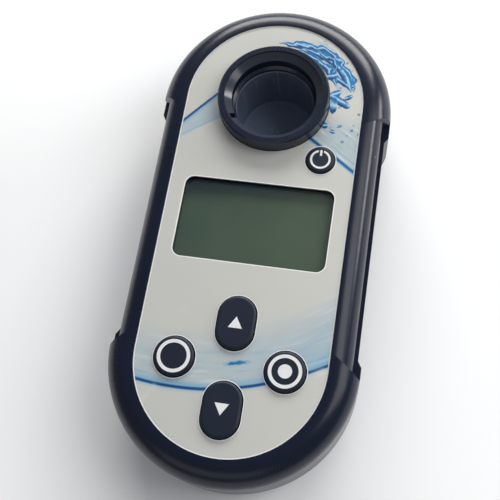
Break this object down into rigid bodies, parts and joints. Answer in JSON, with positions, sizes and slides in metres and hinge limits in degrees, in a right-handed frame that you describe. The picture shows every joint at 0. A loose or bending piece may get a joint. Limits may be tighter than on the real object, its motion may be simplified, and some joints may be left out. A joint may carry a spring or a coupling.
{
  "type": "digital water tester",
  "caption": "Handheld water photometer with a built-in sample well, display, rubber keys and a screwed battery door.",
  "frame": {"origin": "under the middle of the case, at the level of the rubber feet that it lies on", "axes": "+Z out of the face, +Y up the face from the keys to the sample well, +X to the right of the display"},
  "size_m": [0.0786, 0.1656, 0.038],
  "materials": {
    "housing": "satin moulded navy black",
    "printed_sheet": "silver grey print under a satin film",
    "clear_pane": "polished clear acrylic",
    "display_glass": "grey green liquid crystal glass",
    "light_guide": "frosted white acrylic",
    "black_plastic": "moulded",
    "circuit_board": "solder resist",
    "ceramic_chip": "ceramic",
    "chamber_plastic": "light absorbing black",
    "collar_plastic": "satin moulded navy black",
    "smoked_clear": "polished clear resin over black",
    "key_rubber": "smooth silicone",
    "white_mark": "white resin",
    "seal_rubber": "soft silicone",
    "foot_rubber": "matte",
    "screw_steel": "stainless",
    "insert_brass": "turned",
    "cell_jacket": "printed jacket",
    "contact_metal": "nickel plated",
    "lamp_lens": "clear epoxy",
    "filter_glass": "coated glass"
  },
  "bodies": {
    "case": {"battery_cells": "cell_jacket", "battery_contacts": "contact_metal", "battery_springs": "contact_metal", "battery_tray": "black_plastic", "board_components": "ceramic_chip", "board_screws": "screw_steel", "buzzer": "black_plastic", "chamber_screws": "screw_steel", "collar_seal": "seal_rubber", "cuvette": "smoked_clear", "cuvette_seal": "seal_rubber", "detector_board": "circuit_board", "display_window": "clear_pane", "face_overlay": "printed_sheet", "front_shell": "housing", "housing_gasket": "seal_rubber", "housing_screws": "screw_steel", "keypad_seal": "seal_rubber", "lcd_backlight": "light_guide", "lcd_connector": "black_plastic", "lcd_frame": "black_plastic", "lcd_panel": "display_glass", "led_board": "circuit_board", "led_emitters": "lamp_lens", "light_filters": "filter_glass", "main_board": "circuit_board", "measuring_chamber": "chamber_plastic", "microcontroller": "black_plastic", "photodiodes": "black_plastic", "rear_shell": "housing", "rubber_feet": "foot_rubber", "tact_switches": "black_plastic", "threaded_inserts": "insert_brass", "well_collar": "collar_plastic", "wireless_module": "circuit_board"},
    "up_key": {"up_button": "key_rubber", "up_legend": "white_mark"},
    "down_key": {"down_button": "key_rubber", "down_legend": "white_mark"},
    "ring_key": {"ring_button": "key_rubber", "ring_legend": "white_mark"},
    "ring_dot_key": {"ring_dot_button": "key_rubber", "ring_dot_legend": "white_mark"},
    "power_key": {"power_button": "key_rubber", "power_legend": "white_mark"},
    "battery_cover": {"battery_door": "housing", "door_gasket": "seal_rubber", "door_screws": "screw_steel"}
  },
  "joints": [
    {"name": "up_press", "type": "slide", "parent": "case", "child": "up_key", "axis": [0, 0, -1], "range_m": [0, 0.0006], "stiffness_N_per_m": 400, "springref_m": -0.0003},
    {"name": "down_press", "type": "slide", "parent": "case", "child": "down_key", "axis": [0, 0, -1], "range_m": [0, 0.0006], "stiffness_N_per_m": 400, "springref_m": -0.0003},
    {"name": "ring_press", "type": "slide", "parent": "case", "child": "ring_key", "axis": [0, 0, -1], "range_m": [0, 0.0006], "stiffness_N_per_m": 400, "springref_m": -0.0003},
    {"name": "ring_dot_press", "type": "slide", "parent": "case", "child": "ring_dot_key", "axis": [0, 0, -1], "range_m": [0, 0.0006], "stiffness_N_per_m": 400, "springref_m": -0.0003},
    {"name": "power_press", "type": "slide", "parent": "case", "child": "power_key", "axis": [0, 0, -1], "range_m": [0, 0.0006], "stiffness_N_per_m": 400, "springref_m": -0.0003},
    {"name": "cover_lift", "type": "slide", "parent": "case", "child": "battery_cover", "axis": [0, 0, -1], "range_m": [0, 0.02]}
  ]
}
